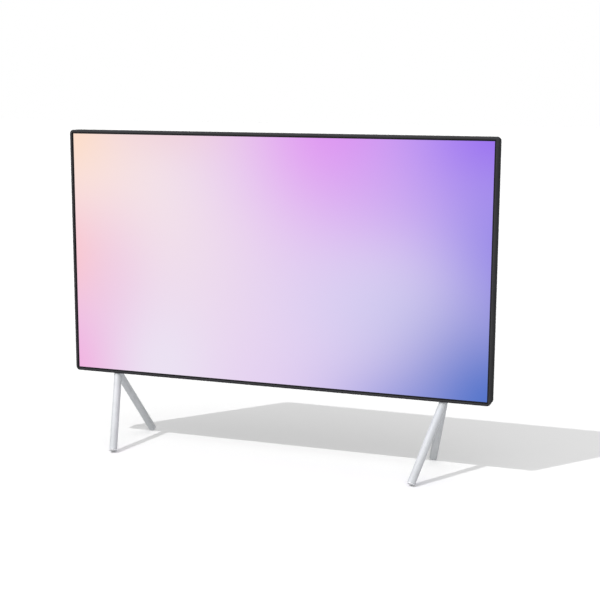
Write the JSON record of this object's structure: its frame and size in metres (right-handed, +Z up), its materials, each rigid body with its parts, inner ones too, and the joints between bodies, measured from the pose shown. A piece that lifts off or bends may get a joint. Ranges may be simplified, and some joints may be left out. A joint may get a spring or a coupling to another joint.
{
  "type": "flat screen television",
  "caption": "Flat 16:9 television with a slim dark frame, standing on two splayed feet of mitred round tube.",
  "frame": {"origin": "on the floor, in the middle of the feet from left to right and from front to back", "axes": "+X to the right seen from the front, the screen faces -Y, +Z up"},
  "size_m": [1.2308, 0.2706, 0.9026],
  "materials": {
    "charcoal_frame": "satin charcoal coating on extruded aluminium",
    "silver_lacquer": "pale silver lacquer on steel tube",
    "screen_glass": "polarised display glass with a lit picture",
    "grey_rubber": "matt grey rubber",
    "cover_plastic": "fine-grained moulding",
    "black_plastic": "moulded black plastic",
    "key_plastic": "polished key caps",
    "smoked_plastic": "dark red smoked window",
    "black_foam": "foam strip",
    "optical_film": "clear film with fine prisms",
    "acrylic_plate": "clear acrylic plate",
    "white_film": "white reflecting film",
    "zinc_steel": "zinc-coated sheet steel",
    "nickel_steel": "nickel-plated steel",
    "black_steel": "blackened steel screws",
    "bare_aluminium": "mill-finish aluminium",
    "white_circuit_board": "white solder mask",
    "green_circuit_board": "green solder mask on glass laminate",
    "tan_circuit_board": "brown paper laminate",
    "led_resin": "yellow phosphor resin",
    "amber_flex": "amber polyimide film",
    "white_ribbon": "white flat cable",
    "chip_resin": "black moulding resin",
    "ferrite": "dark ferrite core and taped winding",
    "capacitor_sleeve": "dark sleeve on aluminium can",
    "wire_sleeve": "wire insulation",
    "speaker_paper": "black paper cone with a rubber edge"
  },
  "bodies": {
    "television": {"ac_inlet": "black_plastic", "aerial_socket": "nickel_steel", "board_screws": "nickel_steel", "board_standoffs": "nickel_steel", "corner_keys": "zinc_steel", "cover_screws": "black_steel", "diffuser_sheet": "optical_film", "foot_glides": "grey_rubber", "foot_screws": "black_steel", "frame_bottom_rail": "charcoal_frame", "frame_left_rail": "charcoal_frame", "frame_right_rail": "charcoal_frame", "frame_top_rail": "charcoal_frame", "hdmi_sockets": "nickel_steel", "key_board": "green_circuit_board", "lcd_cell": "screen_glass", "led_bar": "white_circuit_board", "led_heat_sink": "bare_aluminium", "led_packages": "led_resin", "left_foot_bracket": "silver_lacquer", "left_front_leg": "silver_lacquer", "left_rear_leg": "silver_lacquer", "left_speaker_box": "black_plastic", "light_guide": "acrylic_plate", "main_board": "green_circuit_board", "main_board_chips": "chip_resin", "middle_frame": "black_plastic", "network_socket": "black_plastic", "optical_socket": "black_plastic", "panel_flexes": "amber_flex", "panel_gasket": "black_foam", "power_board": "tan_circuit_board", "power_capacitors": "capacitor_sleeve", "power_heat_sinks": "bare_aluminium", "power_leads": "wire_sleeve", "power_transformers": "ferrite", "prism_sheet": "optical_film", "processor_heat_sink": "bare_aluminium", "rear_chassis": "zinc_steel", "rear_cover": "cover_plastic", "reflector_sheet": "white_film", "ribbon_cables": "white_ribbon", "right_foot_bracket": "silver_lacquer", "right_front_leg": "silver_lacquer", "right_rear_leg": "silver_lacquer", "right_speaker_box": "black_plastic", "sensor_board": "green_circuit_board", "sensor_window": "smoked_plastic", "source_boards": "green_circuit_board", "speaker_drivers": "zinc_steel", "speaker_grommets": "grey_rubber", "timing_board": "green_circuit_board", "usb_sockets": "nickel_steel", "wall_mount_inserts": "nickel_steel", "wifi_module": "green_circuit_board"},
    "power_key": {"power_key": "key_plastic"},
    "volume_up_key": {"volume_up_key": "key_plastic"},
    "volume_down_key": {"volume_down_key": "key_plastic"},
    "left_speaker_cone": {"left_speaker_cone": "speaker_paper"},
    "right_speaker_cone": {"right_speaker_cone": "speaker_paper"}
  },
  "joints": [
    {"name": "power_key_press", "type": "slide", "parent": "television", "child": "power_key", "axis": [0, -1, 0], "range_m": [0, 0.0006], "stiffness_N_per_m": 400, "springref_m": -0.001},
    {"name": "volume_up_key_press", "type": "slide", "parent": "television", "child": "volume_up_key", "axis": [0, -1, 0], "range_m": [0, 0.0006], "stiffness_N_per_m": 400, "springref_m": -0.001},
    {"name": "volume_down_key_press", "type": "slide", "parent": "television", "child": "volume_down_key", "axis": [0, -1, 0], "range_m": [0, 0.0006], "stiffness_N_per_m": 400, "springref_m": -0.001},
    {"name": "left_speaker_cone_travel", "type": "slide", "parent": "television", "child": "left_speaker_cone", "axis": [0, 1, 0], "range_m": [-0.001, 0.001], "stiffness_N_per_m": 2000},
    {"name": "right_speaker_cone_travel", "type": "slide", "parent": "television", "child": "right_speaker_cone", "axis": [0, 1, 0], "range_m": [-0.001, 0.001], "stiffness_N_per_m": 2000}
  ]
}
